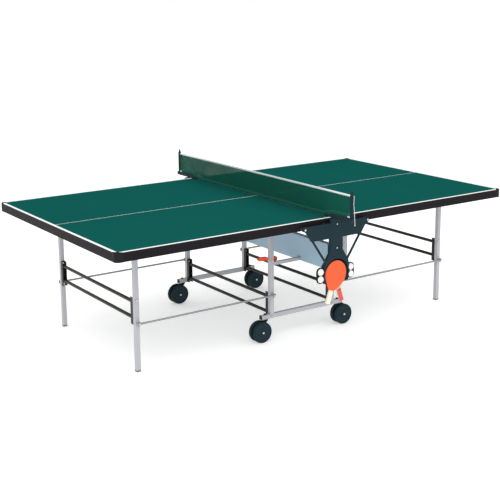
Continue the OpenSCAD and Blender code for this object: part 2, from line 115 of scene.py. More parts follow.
class Shape:
    """Points and faces collected for one piece, in the frame of the whole table."""

    def __init__(self):
        self.points = []
        self.faces = []

    def add(self, points, faces):
        """Adds points, and faces that count from the first of them."""
        first = len(self.points)
        self.points += [Vector(p) for p in points]
        self.faces += [[first + i for i in face] for face in faces]

    def loft(self, rings, caps=True):
        """A skin over rings of points, each with the same number of points."""
        count = len(rings[0])
        points = [p for ring in rings for p in ring]
        faces = [[r * count + k, r * count + (k + 1) % count,
                  (r + 1) * count + (k + 1) % count, (r + 1) * count + k]
                 for r in range(len(rings) - 1) for k in range(count)]
        if caps:
            faces.append(list(range(count))[::-1])
            faces.append([(len(rings) - 1) * count + k for k in range(count)])
        self.add(points, faces)

    def lathe(self, profile, centre, axis, segments, caps=True):
        """Rings of (radius, height along the axis) about a centre."""
        axis, side, other = basis(axis)
        self.loft([[Vector(centre) + axis * h + side * (r * math.cos(a)) + other * (r * math.sin(a))
                    for a in circle_angles(segments)] for r, h in profile], caps)

    def tube(self, path, radius, sides, caps=True):
        """A round tube along a path of points."""
        path = [Vector(p) for p in path]
        rings = []
        side = None
        for i, p in enumerate(path):
            along = (path[min(i + 1, len(path) - 1)] - path[max(i - 1, 0)]).normalized()
            side = along.orthogonal() if side is None else side - along * side.dot(along)
            side.normalize()
            other = along.cross(side)
            rings.append([p + radius * (math.cos(a) * side + math.sin(a) * other)
                          for a in circle_angles(sides)])
        self.loft(rings, caps)

    def torus(self, centre, axis, major, minor):
        """A ring of round section about an axis."""
        segments = 32
        sides = 8
        axis, side, other = basis(axis)
        points = []
        for turn in circle_angles(segments):
            out = side * math.cos(turn) + other * math.sin(turn)
            for a in circle_angles(sides):
                points.append(Vector(centre) + out * (major + minor * math.cos(a))
                              + axis * minor * math.sin(a))
        faces = [[k * sides + j, k * sides + (j + 1) % sides,
                  (k + 1) % segments * sides + (j + 1) % sides, (k + 1) % segments * sides + j]
                 for k in range(segments) for j in range(sides)]
        self.add(points, faces)

    def place(self, matrix):
        """Moves every point collected so far."""
        self.points = [matrix @ p for p in self.points]

    def piece(self, name, material, body, sharp, replaces, slot):
        """Makes the object, with edges sharp above an angle, and lets it ride on a CAD body."""
        mesh = bpy.data.meshes.new(name)
        mesh.from_pydata(self.points, [], self.faces)
        work = bmesh.new()
        work.from_mesh(mesh)
        bmesh.ops.recalc_face_normals(work, faces=work.faces)
        work.to_mesh(mesh)
        work.free()
        mesh.shade_smooth()
        mesh.set_sharp_from_angle(angle=math.radians(sharp))
        mesh.materials.append(material)
        made = bpy.data.objects.new(name, mesh)
        bpy.context.scene.collection.objects.link(made)
        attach(made, body)
        if replaces:
            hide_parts(*replaces)
        return made


# ---------------------------------------------------------------- materials

def linear(r, g, b):
    """Linear colour of a display colour given from 0 to 255."""
    return tuple(c / 255 / 12.92 if c < 11 else ((c / 255 + 0.055) / 1.055) ** 2.4
                 for c in (r, g, b)) + (1,)


class Finish:
    """A node material in the making. Most methods add a node and return its output."""

    def __init__(self, name, colour, roughness, specular, metallic=0.0):
        self.material = bpy.data.materials.new(name)
        self.material.use_nodes = True
        self.tree = self.material.node_tree
        self.shader = self.tree.nodes["Principled BSDF"]
        self.base = linear(*colour)
        self.set("Base Color", self.base)
        self.set("Roughness", roughness)
        self.set("Specular IOR Level", specular)
        self.set("Metallic", metallic)

    def set(self, socket, value):
        """A value that is the same all over the surface."""
        self.shader.inputs[socket].default_value = value

    def wire(self, source, socket):
        """A value that changes over the surface."""
        self.tree.links.new(source, self.shader.inputs[socket])

    def node(self, kind, **settings):
        """A new node of a kind, with its settings."""
        made = self.tree.nodes.new(kind)
        for key, value in settings.items():
            setattr(made, key, value)
        return made

    def feed(self, made, index, value):
        """Sets a node's input, or links it when the value comes from another node."""
        if isinstance(value, bpy.types.NodeSocket):
            self.tree.links.new(value, made.inputs[index])
        else:
            made.inputs[index].default_value = value

    def place(self, stretch=(1, 1, 1)):
        """Place on the object at rest, in metres, stretched along each axis."""
        where = self.node("ShaderNodeTexCoord").outputs["Object"]
        mapping = self.node("ShaderNodeMapping")
        self.feed(mapping, "Vector", where)
        self.feed(mapping, "Scale", stretch)
        return mapping.outputs[0]

    def axes(self):
        """The place on the object as x, y and z."""
        split = self.node("ShaderNodeSeparateXYZ")
        self.feed(split, 0, self.place())
        return split.outputs

    def noise(self, scale, detail, stretch=(1, 1, 1)):
        """Soft random blotches, finer at a larger scale."""
        made = self.node("ShaderNodeTexNoise")
        self.feed(made, "Vector", self.place(stretch))
        self.feed(made, "Scale", scale)
        self.feed(made, "Detail", detail)
        return made.outputs["Fac"]

    def cells(self, scale):
        """Distance to the middle of the nearest of many random cells."""
        made = self.node("ShaderNodeTexVoronoi")
        self.feed(made, "Vector", self.place())
        self.feed(made, "Scale", scale)
        return made.outputs["Distance"]

    def waves(self, scale, direction, stretch=(1, 1, 1)):
        """Even bands across a direction, from 0 to 1 and back."""
        made = self.node("ShaderNodeTexWave", bands_direction=direction)
        self.feed(made, "Vector", self.place(stretch))
        self.feed(made, "Scale", scale)
        return made.outputs["Fac"]

    def math(self, operation, a, b=0.0):
        """One sum on one or two values."""
        made = self.node("ShaderNodeMath", operation=operation)
        self.feed(made, 0, a)
        self.feed(made, 1, b)
        return made.outputs[0]

    def span(self, value, low, high, to_low=0.0, to_high=1.0):
        """value from low..high to to_low..to_high, held at the ends."""
        made = self.node("ShaderNodeMapRange")
        for index, number in enumerate((value, low, high, to_low, to_high)):
            self.feed(made, index, number)
        return made.outputs[0]

    def mix(self, share, a, b):
        """Colour a where the share is 0, and b where it is 1."""
        made = self.node("ShaderNodeMix", data_type="RGBA")
        self.feed(made, 0, share)
        self.feed(made, 6, a)
        self.feed(made, 7, b)
        return made.outputs[2]

    def tint(self, gain, lift=0.0):
        """The base colour scaled and lifted, at most white."""
        return tuple(min(1, c * gain + lift) for c in self.base[:3]) + (1,)

    def shades(self, share, dark, light):
        """The base colour from a darker to a lighter shade."""
        return self.mix(share, self.tint(dark), self.tint(light))

    def bump(self, height, depth, strength, under=None):
        """Relief of a depth in metres, on top of another relief if there is one."""
        made = self.node("ShaderNodeBump")
        self.feed(made, "Strength", strength)
        self.feed(made, "Distance", depth)
        self.feed(made, "Height", height)
        if under:
            self.feed(made, "Normal", under)
        return made.outputs[0]

    def worn_edges(self, radius=1.2 * MM):
        """1 on edges, 0 on flat faces."""
        rounded = self.node("ShaderNodeBevel", samples=4)
        self.feed(rounded, "Radius", radius)
        plain = self.node("ShaderNodeNewGeometry").outputs["Normal"]
        dot = self.node("ShaderNodeVectorMath", operation="DOT_PRODUCT")
        self.feed(dot, 0, rounded.outputs[0])
        self.feed(dot, 1, plain)
        return self.span(dot.outputs["Value"], 0.999, 0.93)


def powder_coat(name, colour, roughness, specular, edge):
    """Baked powder paint: fine orange peel, slow shade changes, rubbed edges."""
    f = Finish(name, colour, roughness, specular)
    slow = f.noise(5, 3)
    speck = f.noise(900, 2)
    blend = f.math("ADD", f.math("MULTIPLY", slow, 0.7), f.math("MULTIPLY", speck, 0.3))
    shade = f.shades(blend, 0.9, 1.1)
    rubbed = f.math("MULTIPLY", f.worn_edges(), f.span(f.noise(60, 4), 0.42, 0.62))
    f.wire(f.mix(rubbed, shade, f.tint(edge, 0.01)), "Base Color")
    f.wire(f.span(f.noise(35, 4), 0.3, 0.7, roughness - 0.06, roughness + 0.08), "Roughness")
    coarse = f.bump(f.noise(420, 2), 0.05 * MM, 0.6)
    f.wire(f.bump(speck, 0.02 * MM, 0.5, coarse), "Normal")
    return f.material


def moulded(name, colour, roughness, specular, grain=1.0, edge=1.3):
    """Injection-moulded plastic: leathery spark grain, faint flow marks, paler edges."""
    f = Finish(name, colour, roughness, specular)
    shade = f.shades(f.noise(14, 4), 0.9, 1.1)
    scuffs = f.math("MULTIPLY", f.span(f.noise(90, 5, (1, 1, 0.3)), 0.6, 0.75), 0.25)
    wear = f.math("MAXIMUM", scuffs, f.math("MULTIPLY", f.worn_edges(), 0.6))
    f.wire(f.mix(wear, shade, f.tint(edge, 0.012)), "Base Color")
    f.wire(f.span(f.noise(50, 3), 0.3, 0.7, roughness - 0.07, roughness + 0.08), "Roughness")
    f.wire(f.bump(f.cells(1300), 0.03 * MM * grain, 0.7), "Normal")
    return f.material


def zinc(name):
    """Bright zinc plate with fine turning marks and a cloudy passivation."""
    f = Finish(name, (206, 208, 212), 0.3, 0.5, 1.0)
    cloud = f.noise(120, 4)
    f.wire(f.mix(cloud, linear(180, 182, 188), linear(232, 232, 228)), "Base Color")
    f.wire(f.span(cloud, 0.3, 0.7, 0.22, 0.4), "Roughness")
    f.wire(f.bump(f.noise(2600, 2, (1, 0.15, 1)), 0.01 * MM, 0.5), "Normal")
    return f.material


def playing_paint():
    """Green playing face with white lines, a fine sanded grain, and a pale underside."""
    f = Finish("playing_paint", (17, 86, 80), 0.55, 0.0)
    x, y, z = f.axes()
    edge_width = 20 * MM
    centre_half = 2.0 * MM
    soft = 0.25 * MM                    # half width of the blurred rim of a line
    waver = f.math("MULTIPLY", f.math("SUBTRACT", f.noise(300, 2), 0.5), 0.3 * MM)

    def inside(distance, width):
        """1 where the distance is under the width."""
        return f.span(f.math("ADD", distance, waver), width - soft, width + soft, 1, 0)

    from_side = f.math("SUBTRACT", half_wid, f.math("ABSOLUTE", y))
    from_end = f.math("SUBTRACT", half_len, f.math("ABSOLUTE", x))
    edge_line = f.math("MAXIMUM", inside(from_side, edge_width), inside(from_end, edge_width))
    line = f.math("MAXIMUM", edge_line, inside(f.math("ABSOLUTE", y), centre_half))
    grain = f.noise(1500, 2)
    cloud = f.noise(2.2, 4)
    blend = f.math("ADD", f.math("MULTIPLY", cloud, 0.55), f.math("MULTIPLY", grain, 0.45))
    green = f.shades(blend, 0.86, 1.14)
    marks = f.span(f.noise(28, 6, (1, 1.6, 1)), 0.66, 0.78, 0, 0.12)
    green = f.mix(marks, green, linear(70, 130, 120))
    white = f.mix(f.noise(40, 4), linear(238, 242, 240), linear(250, 252, 250))
    top = f.mix(line, green, white)
    under = f.mix(f.noise(70, 5), linear(126, 130, 129), linear(152, 155, 153))
    f.wire(f.mix(f.span(z, table_z - 2 * MM, table_z - 1 * MM), under, top), "Base Color")
    f.wire(f.span(grain, 0.3, 0.7, 0.5, 0.64), "Roughness")
    body = f.bump(grain, 0.06 * MM, 0.8)
    f.wire(f.bump(line, 0.08 * MM, 0.5, body), "Normal")
    return f.material


def tyre_rubber():
    """Hard wheel rubber: slate, with patches of dust and a fine grain."""
    f = Finish("wheel_slate", (33, 50, 56), 0.58, 0.06)
    shade = f.shades(f.noise(30, 4), 0.85, 1.15)
    dust = f.span(f.noise(170, 6), 0.56, 0.8, 0, 0.3)
    f.wire(f.mix(dust, shade, linear(78, 90, 94)), "Base Color")
    f.wire(f.span(f.noise(60, 3), 0.3, 0.7, 0.48, 0.68), "Roughness")
    f.wire(f.bump(f.noise(700, 3), 0.05 * MM, 0.7), "Normal")
    return f.material


def woven(name, colour, dark, light, threads, depth=0.12):
    """Plain weave along Y and Z, with painted shade between the threads, random yarn tone, and a relief
    of a depth in mm.
    """
    f = Finish(name, colour, 0.8, 0.04)
    weave = f.math("MAXIMUM", f.waves(threads / 2, "Y"), f.waves(threads / 2, "Z"))
    # painted shade: darker where the weave sinks between threads; the noise adds random yarn tone
    weave_shade_and_tone = f.math("MULTIPLY", weave, f.span(f.noise(90, 4), 0.2, 0.8, 0.7, 1))
    f.wire(f.shades(weave_shade_and_tone, dark, light), "Base Color")
    f.wire(f.bump(weave, depth * MM, 0.8), "Normal")
    f.set("Sheen Weight", 0.04)
    f.set("Sheen Roughness", 0.5)
    return f.material


def tape_cloth():
    """White net tape: close weave with painted shade between its threads, and one row of stitches near
    its lower edge.
    """
    f = Finish("net_tape_cloth", (232, 238, 236), 0.8, 0.2)
    z = f.axes()[2]
    weave = f.math("MAXIMUM", f.waves(520, "Y"), f.waves(520, "Z"))
    row = f.math("ABSOLUTE", f.math("SUBTRACT", z, tape_low + 3.2 * MM))
    near_row = f.span(row, 0.3 * MM, 0.6 * MM, 1, 0)
    dashes = f.span(f.waves(85, "Y"), 0.25, 0.4)
    stitch = f.math("MULTIPLY", near_row, dashes)
    # painted shade: darker where the weave sinks between threads, with random tone from the noise
    weave_shade_and_tone = f.math("MULTIPLY", weave, f.span(f.noise(20, 4), 0.2, 0.8, 0.6, 1))
    cloth = f.shades(weave_shade_and_tone, 0.86, 1.03)
    f.wire(f.mix(stitch, cloth, linear(206, 214, 212)), "Base Color")
    lift = f.math("ADD", f.math("MULTIPLY", weave, 0.15), stitch)
    f.wire(f.bump(lift, 0.25 * MM, 0.8), "Normal")
    f.set("Sheen Weight", 0.1)
    return f.material


def braided(name, colour):
    """Thin braided cord: crossing diagonal yarns, darker between them as painted shade."""
    f = Finish(name, colour, 0.75, 0.2)
    one = f.waves(190, "DIAGONAL", (1, 1, 1))
    two = f.waves(190, "DIAGONAL", (-1, -1, 1))
    yarn = f.math("MAXIMUM", one, two)
    # painted shade: darker in the grooves between the yarns, the same pattern as the bump
    f.wire(f.shades(yarn, 0.72, 1.05), "Base Color")
    f.wire(f.bump(yarn, 0.2 * MM, 0.9), "Normal")
    return f.material


def plywood():
    """Bat blade: pale veneer with long grain, and thin ply lines on its edge."""
    f = Finish("bat_plywood", (244, 226, 194), 0.5, 0.3)
    grain = f.noise(70, 5, (4, 4, 0.5))
    pores = f.span(f.noise(420, 3, (3, 3, 0.2)), 0.58, 0.7)
    wood = f.mix(grain, linear(236, 212, 174), linear(252, 240, 214))
    wood = f.mix(f.math("MULTIPLY", pores, 0.3), wood, linear(178, 138, 94))
    plies = f.waves(330, "Y")
    f.wire(f.mix(f.span(plies, 0.62, 0.8, 0, 0.5), wood, linear(190, 148, 104)), "Base Color")
    f.wire(f.bump(pores, 0.05 * MM, 0.5), "Normal")
    return f.material


def bat_rubber(name, colour, specular):
    """Smooth sheet rubber: satin, with faint dimples over its pimples, painted shade in the dimples, and
    paler ball marks.
    """
    f = Finish(name, colour, 0.42, specular)
    dimples = f.cells(620)
    marks = f.span(f.noise(65, 3), 0.6, 0.74, 0, 0.16)
    # random tone, plus painted shade: darker at the middle of each dimple, where the bump sinks
    blend = f.math("ADD", f.math("MULTIPLY", f.noise(18, 3), 0.8), f.math("MULTIPLY", dimples, 0.25))
    shade = f.shades(blend, 0.92, 1.06)
    f.wire(f.mix(marks, shade, f.tint(1.2, 0.03)), "Base Color")
    f.wire(f.span(f.noise(45, 4), 0.3, 0.7, 0.34, 0.52), "Roughness")
    f.wire(f.bump(dimples, 0.04 * MM, 0.5), "Normal")
    return f.material


def painted_wood(name, colour, bare):
    """Handle scales: lacquered wood whose grain shows through, paler where it is gripped."""
    f = Finish(name, colour, 0.38, 0.35)
    grain = f.noise(60, 5, (5, 5, 0.6))
    shade = f.shades(grain, 0.82, 1.12)
    rubbed = f.math("MULTIPLY", f.worn_edges(1.5 * MM), f.span(f.noise(80, 4), 0.4, 0.65))
    f.wire(f.mix(f.math("MULTIPLY", rubbed, 0.5), shade, linear(*bare)), "Base Color")
    f.wire(f.bump(grain, 0.08 * MM, 0.5), "Normal")
    f.set("Coat Weight", 0.25)
    f.set("Coat Roughness", 0.25)
    return f.material


def ball_shell():
    """Matt white plastic, faintly uneven, that lets a little light in."""
    f = Finish("ball_shell", (242, 242, 238), 0.5, 0.3)
    f.wire(f.shades(f.noise(160, 4), 0.95, 1.02), "Base Color")
    f.wire(f.bump(f.noise(1800, 2), 0.015 * MM, 0.5), "Normal")
    f.set("Subsurface Weight", 0.08)
    f.set("Subsurface Radius", (4 * MM, 4 * MM, 4 * MM))
    return f.material


def make_materials():
    """Every material of the table. Colours are as displayed, from 0 to 255."""
    return {
        "green": playing_paint(),
        "apron": powder_coat("apron_black", (30, 28, 31), 0.42, 0.04, 1.5),
        "cap": moulded("cap_black", (30, 30, 32), 0.5, 0.08),
        "silver": powder_coat("frame_silver", (178, 179, 184), 0.4, 0.3, 1.1),
        "under": powder_coat("under_frame_silver", (160, 162, 166), 0.45, 0.3, 1.1),
        "black": powder_coat("frame_black", (37, 34, 29), 0.3, 0.2, 1.7),
        "rod": powder_coat("rod_grey", (148, 149, 152), 0.38, 0.3, 1.1),
        "beam": powder_coat("beam_blue_grey", (160, 188, 206), 0.4, 0.2, 1.12),
        "zinc": zinc("zinc_plate"),
        "slate": moulded("slate_plastic", (32, 49, 56), 0.46, 0.04),
        "plastic": moulded("black_plastic", (26, 27, 29), 0.45, 0.1),
        "foot": moulded("foot_grey", (122, 123, 128), 0.55, 0.2),
        "clip": moulded("clip_white", (228, 232, 232), 0.4, 0.3, 0.6, 1.0),
        "orange": moulded("lever_orange", (240, 80, 42), 0.32, 0.35, 0.5, 1.1),
        "wheel": tyre_rubber(),
        "net": woven("net_thread", (12, 84, 68), 0.8, 1.15, 2200, 0.05),
        "hem": woven("net_hem", (22, 90, 76), 0.85, 1.1, 1500),
        "tape": tape_cloth(),
        "cord": braided("net_cord_yarn", (214, 217, 216)),
        "ply": plywood(),
        "rubber_orange": bat_rubber("bat_rubber_orange", (228, 97, 59), 0.1),
        "rubber_red": bat_rubber("bat_rubber_red", (164, 44, 34), 0.12),
        "edge_tape": woven("bat_edge_tape", (126, 42, 30), 0.85, 1.1, 1500),
        "handle_cream": painted_wood("handle_cream", (248, 236, 212), (226, 202, 160)),
        "handle_red": painted_wood("handle_red", (212, 76, 68), (214, 150, 110)),
        "ball": ball_shell(),
    }


# ---------------------------------------------------------------- carried-over CAD nodes

def dress(name, material, edge):
    """Gives a CAD node its material and rounds its edges by a width in mm, inside its box."""
    node = nodes[name]
    node.data.materials.clear()
    node.data.materials.append(material)
    for face in node.data.polygons:
        face.material_index = 0
    node.modifiers.new("weld", "WELD").merge_threshold = 0.01 * MM
    flat = node.modifiers.new("flat", "DECIMATE")
    flat.decimate_type = "DISSOLVE"
    flat.angle_limit = math.radians(0.5)
    bevel = node.modifiers.new("bevel", "BEVEL")
    bevel.width = edge * MM
    bevel.segments = 2
    bevel.limit_method = "ANGLE"
    bevel.angle_limit = math.radians(40)
    bevel.use_clamp_overlap = True
    node.modifiers.new("normals", "WEIGHTED_NORMAL").weight = 90
    node.data.shade_smooth()


def dress_frame(mats):
    """Every CAD node that stays: its material and how far its edges are rounded, in mm."""
    by_side = {
        "playing_surface": ("green", 0.4), "apron_rails": ("apron", 1.6), "corner_caps": ("cap", 1.2),
        "under_frame": ("under", 1.5), "hinge_brackets": ("zinc", 0.8), "legs": ("silver", 2.0),
        "leg_cross_frame": ("black", 1.0), "feet": ("foot", 1.0), "leg_bolts": ("zinc", 0.6),
        "link_rods": ("rod", 0.8), "posts": ("silver", 2.0), "base_cross_frame": ("black", 1.0),
        "release_lever": ("orange", 3.0),
    }
    by_row = {
        "base_rail": ("silver", 2.0), "lock_bar": ("silver", 1.5), "side_plate": ("slate", 1.5),
        "net_arm": ("slate", 1.5), "net_post": ("slate", 1.5),
    }
    single = {
        "rail_end_caps": ("plastic", 1.0), "centre_beam": ("beam", 1.2), "ball_loops": ("plastic", 1.0),
        "pivot_bolts": ("zinc", 0.6), "frame_bolts": ("zinc", 0.6), "net_clips": ("clip", 0.8),
    }
    for stem, (finish, edge) in by_side.items():
        for side in SIDES:
            dress(f"{stem}_{side}", mats[finish], edge)
    for stem, (finish, edge) in by_row.items():
        for row in ROWS:
            dress(f"{stem}_{row}", mats[finish], edge)
    for name, (finish, edge) in single.items():
        dress(name, mats[finish], edge)
    for row in ROWS:
        for side in SIDES:
            dress(f"castor_{row}_{side}", mats["plastic"], 1.0)


# ---------------------------------------------------------------- net

def net_foot(y):
    """Height of the net's lower edge: just over the top, and higher over the arms."""
    reach = abs(y)
    start = arm_in - 6 * MM
    end = half_wid - 4 * MM
    if reach < start:
        return table_z + 2 * MM
    rise = min(1, (reach - start) / (end - start))
    return table_z + 10 * MM + rise * (arm_top + 1 * MM - table_z - 10 * MM)


def net_x(y, z):
    """Slight wander of the cloth out of its plane, most at its free lower edge."""
    held = 0.12                         # length beside a post where the wander fades
    slack = (net_top - z) / (net_top - table_z)
    ease = min(1, (net_end - abs(y)) / held)
    wander = 0.9 * math.sin(y * 19 + 0.6) + 0.5 * math.sin(y * 47 + 2.1)
    return wander * slack * ease * MM


def make_netting(mats):
    """Woven square mesh: threads along the net and up it, each passing over and under."""
    pitch = 5.6 * MM
    radius = 1.5 * MM
    sides = 5
    low, high = table_z + 3 * MM, tape_low + 2 * MM
    end = net_end - 2 * MM
    columns = round(2 * end / pitch)
    rows = round((high - low) / pitch)
    ys = [-end + 2 * end * i / columns for i in range(columns + 1)]
    zs = [low + (high - low) * k / rows for k in range(rows + 1)]
    netting = Shape()

    def ring(y, z, over, upright):
        """Points round a thread, pushed half a radius out of the net's plane where it crosses over."""
        x = net_x(y, z) + over * 0.5 * radius
        points = []
        for a in circle_angles(sides):
            wide = radius * math.cos(a)
            points.append((x + radius * math.sin(a), y + wide if upright else y,
                           z if upright else z + wide))
        return points

    for i, y in enumerate(ys):
        foot = net_foot(y)
        above = [(k, z) for k, z in enumerate(zs) if z > foot + 1 * MM]
        rings = [ring(y, foot + 0.5 * MM, 0, True)]
        rings += [ring(y, z, (-1) ** (i + k), True) for k, z in above]
        netting.loft(rings)
    for k, z in enumerate(zs):
        run = [(i, y) for i, y in enumerate(ys) if z > net_foot(y)]
        netting.loft([ring(y, z, -(-1) ** (i + k), False) for i, y in run])
    return netting.piece("net_netting", mats["net"], "undercarriage", 60, ["net_mesh"], "net_green")


def make_hem(mats):
    """Webbing sewn along the lower edge and up both ends of the net."""
    thick = 0.9 * MM
    band = 19 * MM
    room = 1.4 * MM                     # from the middle of the netting to the webbing
    steps = 160
    hem = Shape()
    end = net_end - 1 * MM
    rings = []
    for i in range(steps + 1):
        y = -end + 2 * end * i / steps
        foot = net_foot(y)
        middle = [(foot + 0.3 * MM, 0.3), (foot + 1.2 * MM, 1), (foot + band - 1.2 * MM, 1),
                  (foot + band, 0.3)]
        front = [(net_x(y, z) + room + thick * s, y, z) for z, s in middle]
        back = [(net_x(y, z) - room - thick * s, y, z) for z, s in reversed(middle)]
        rings.append(front + back)
    hem.loft(rings)
    for s in (-1, 1):
        # y of the webbing's two edges, and half its thickness there in mm
        edge = [(s * (net_end - 0.5 * MM), 2.2), (s * (net_end - 9 * MM), 2.2)]
        rings = []
        for k in range(11):
            z = arm_top + 2 * MM + (tape_low - arm_top) * k / 10
            rings.append([(x * MM, y, z) for y, x in edge] + [(-x * MM, y, z) for y, x in reversed(edge)])
        hem.loft(rings)
    return hem.piece("net_hem", mats["hem"], "undercarriage", 60, (), "net_green")


def make_tape(mats):
    """White tape folded over the tension cord along the top of the net."""
    bulge = 2.3 * MM
    flank = 1.5 * MM
    below_cord = 6 * MM
    depth = net_top - tape_low
    steps = 60
    outline = [(-flank * 0.7, -depth), (-flank, -depth + 1 * MM), (-flank, -below_cord)]
    for k in range(9):
        a = math.radians(200 - 220 * k / 8)
        outline.append((bulge * math.cos(a), -bulge + bulge * math.sin(a)))
    outline += [(flank, -below_cord), (flank, -depth + 1 * MM), (flank * 0.7, -depth)]
    tape = Shape()
    rings = []
    for i in range(steps + 1):
        y = -net_end + 2 * net_end * i / steps
        ease = 1 if abs(y) < net_end - 4 * MM else 0.8
        rings.append([(x * ease, y, net_top + z) for x, z in outline])
    tape.loft(rings)
    return tape.piece("net_top_tape", mats["tape"], "undercarriage", 50, ["net_tape"], "net_white")


def make_cord(mats):
    """Loose end of the tension cord, hanging outside the near post down to its knot."""
    # from the exit down to the knot, in mm
    route = [(4, -931, 908), (4, -934, 908), (3, -937, 906), (2, -939, 902), (1, -940, 896),
             (0, -940, 888), (0, -940, 878), (-1, -940, 866), (-1, -940, 856), (0, -941, 848),
             (1, -941, 840), (2, -941, 830), (3, -941, 818), (4, -941, 804), (5, -941, 790),
             (6, -941, 776), (7, -941, 762), (8, -941, 748)]
    curve = bpy.data.curves.new("net_cord_end", "CURVE")
    curve.dimensions = "3D"
    curve.bevel_depth = 1.5 * MM
    curve.bevel_resolution = 4
    curve.resolution_u = 5
    curve.use_fill_caps = True
    line = curve.splines.new("BEZIER")
    line.bezier_points.add(len(route) - 1)
    for point, place in zip(line.bezier_points, route):
        point.co = [c * MM for c in place]
        point.handle_left_type = point.handle_right_type = "AUTO"
    curve.materials.append(mats["cord"])
    cord = bpy.data.objects.new("net_cord_end", curve)
    bpy.context.scene.collection.objects.link(cord)
    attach(cord, "undercarriage")
    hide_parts("net_cord")
    end = Vector(route[-1]) * MM
    steps = 48
    size = 0.8 * MM
    drop = -3 * MM                      # from the end of the cord to the middle of the knot
    path = []
    for k in range(steps + 1):
        a = 2 * math.pi * k / steps
        reach = (2 + math.cos(3 * a)) * size
        path.append(end + Vector((reach * math.cos(2 * a), reach * math.sin(2 * a),
                                  drop + 1.6 * size * math.sin(3 * a))))
    knot = Shape()
    knot.tube(path, 1.2 * MM, 10, False)
    knot.tube([end - Vector((0, 0, d * MM)) for d in (3, 5, 7, 8.6)], 1.3 * MM, 10)
    knot = knot.piece("net_cord_overhand_knot", mats["cord"], "undercarriage", 60,
                      ["net_cord_knot"], "cord_grey")


# ---------------------------------------------------------------- bats and balls

ply_half = 3 * MM                       # half the thickness of a blade
rubber_thick = 2 * MM
rubber_lap = 0.4 * MM                   # how far the rubber stands past the blade


def blade_half(grow):
    """Right half of a blade in x and height, from its tip down to the neck, grown by a margin."""
    width, height = 75.5 * MM + grow, 78.5 * MM + grow
    neck_x, neck_z = 14.5 * MM, -101 * MM
    last = math.radians(128)            # where the round ends and the shoulder begins
    round_steps = 40
    neck_steps = 8
    half = [(width * math.sin(last * k / round_steps), height * math.cos(last * k / round_steps))
            for k in range(round_steps + 1)]
    shoulder_x, shoulder_z = half[-1]
    for k in range(1, neck_steps + 1):
        ease = (1 - k / neck_steps) ** 0.8
        half.append((neck_x + (shoulder_x - neck_x) * ease,
                     shoulder_z + (neck_z - shoulder_z) * k / neck_steps))
    return half


def mirrored(half):
    """The whole outline of a half that starts on the centre line."""
    return half + [(-x, z) for x, z in reversed(half[1:])]


def blade_outline():
    """The whole blade, with a tang that runs down through the handle."""
    return mirrored(blade_half(0) + [(13 * MM, -104 * MM), (12.5 * MM, -172 * MM)])


def trimmed(half, cut):
    """The part of a half outline above a straight cut."""
    above = [p for p in half if p[1] > cut]
    (x0, z0), (x1, z1) = above[-1], half[len(above)]
    return above + [(x0 + (x1 - x0) * (z0 - cut) / (z0 - z1), cut)]


def edge_band(cut, reach, thick):
    """Rings of a tape round the rim of a blade, from one end of the cut over the top to the other."""
    right = [Vector((x, 0, z)) for x, z in trimmed(blade_half(rubber_lap), cut)]
    path = [Vector((-p.x, 0, p.z)) for p in reversed(right[1:])] + right
    rings = []
    for i, p in enumerate(path):
        along = path[min(i + 1, len(path) - 1)] - path[max(i - 1, 0)]
        out = Vector((-along.z, 0, along.x)).normalized() * thick
        side = Vector((0, reach, 0))
        rings.append([p - side, p + out - side * 0.9, p + out + side * 0.9, p + side])
    return rings


def slab(outline, back, front, bevel):
    """Rings of a flat sheet from y=back to y=front with softened edges."""
    reach = 70 * MM                     # about how far the outline lies from its middle
    shrink = 1 - bevel / reach
    return [[(x * scale, y, z * scale) for x, z in outline]
            for y, scale in ((back, shrink), (back + bevel, 1), (front - bevel, 1), (front, shrink))]


def make_bat(mats, which, tilt, rubber_end, handle):
    """Blade leaning by tilt degrees, a rubber sheet on each face down to rubber_end, edge tape,
    and two shaped handle scales."""
    body = f"bat_{which}"
    slot = "bat_orange" if which == "front" else "bat_red"
    low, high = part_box(body)
    matrix = (Matrix.Translation((0, (low.y + high.y) / 2, blade_z))
              @ Matrix.Rotation(math.radians(tilt), 4, "Y"))
    blade = Shape()
    blade.loft(slab(blade_outline(), -ply_half, ply_half, 0.5 * MM))
    blade.place(matrix)
    blade.piece(f"{body}_blade", mats["ply"], body, 40, [body], slot)
    covered = mirrored(trimmed(blade_half(rubber_lap), rubber_end))
    for face, side, material in ((-1, "front", "rubber_orange"), (1, "back", "rubber_red")):
        near, far = sorted((face * ply_half, face * (ply_half + rubber_thick)))
        rubber = Shape()
        rubber.loft(slab(covered, near, far, 0.4 * MM))
        rubber.place(matrix)
        rubber.piece(f"{body}_rubber_{side}", mats[material], body, 40, (), slot)
    edging = Shape()
    edging.loft(edge_band(rubber_end, ply_half + rubber_thick - 0.3 * MM, 0.4 * MM))
    edging.place(matrix)
    edging.piece(f"{body}_edge_tape", mats["edge_tape"], body, 40, (), slot)
    # height, half width and thickness of a handle scale, in mm
    scale = ((-100.5, 9, 0.8), (-101.5, 11.5, 3), (-104, 12.8, 5.6), (-108, 13.2, 7.2), (-116, 13, 7.9),
             (-132, 12.9, 8), (-152, 13.2, 8), (-168, 13.5, 8), (-174, 13.4, 7.8), (-176.5, 12.6, 6.8))
    grip = Shape()
    for face in (-1, 1):
        rings = []
        for z, half, thick in scale:
            ring = []
            for k in range(17):
                a = math.pi * k / 16
                wide = math.copysign(abs(math.cos(a)) ** 0.6, math.cos(a))
                ring.append((half * MM * wide, face * (ply_half + thick * MM * math.sin(a) ** 0.6),
                             z * MM))
            rings.append(ring)
        grip.loft(rings)
    grip.place(matrix)
    grip.piece(f"{body}_handle_scales", mats[handle], body, 50, (), slot)


